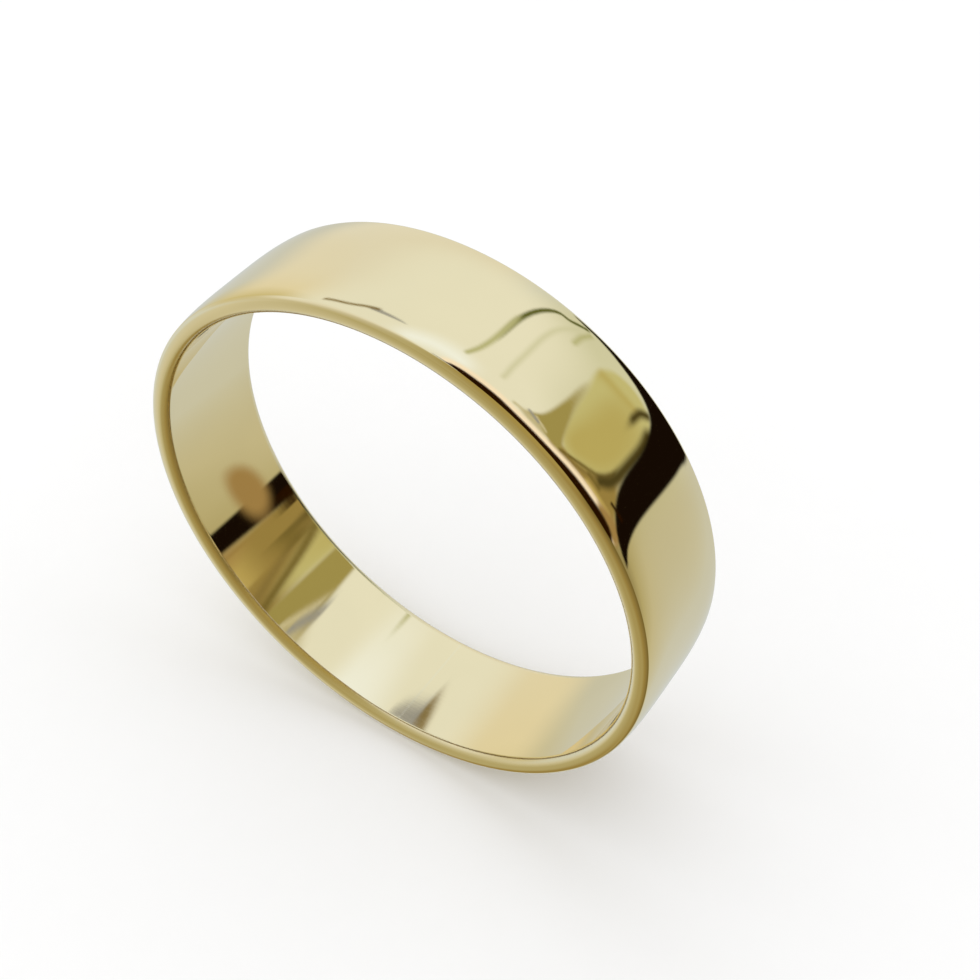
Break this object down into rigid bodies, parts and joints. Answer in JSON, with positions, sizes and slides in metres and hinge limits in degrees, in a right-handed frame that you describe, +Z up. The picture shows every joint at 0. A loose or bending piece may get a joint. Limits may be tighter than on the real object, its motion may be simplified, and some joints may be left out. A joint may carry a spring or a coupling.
{
  "type": "wedding band",
  "caption": "Plain flat wedding band with polished rounded edges: a bent gold strip closed at the bottom with a hard-solder seam.",
  "frame": {"origin": "centre of the finger bore, half-way along the band's width", "axes": "+Y along the finger bore, +Z up to the top of the ring; the solder seam is at the bottom, towards -Z"},
  "size_m": [0.0214, 0.005, 0.0214],
  "materials": {
    "gold": "mirror-polished 14 carat yellow gold",
    "solder": "polished flush, colour-matched hard gold solder"
  },
  "bodies": {
    "root": {"band": "gold", "solder_seam": "solder"}
  },
  "joints": []
}
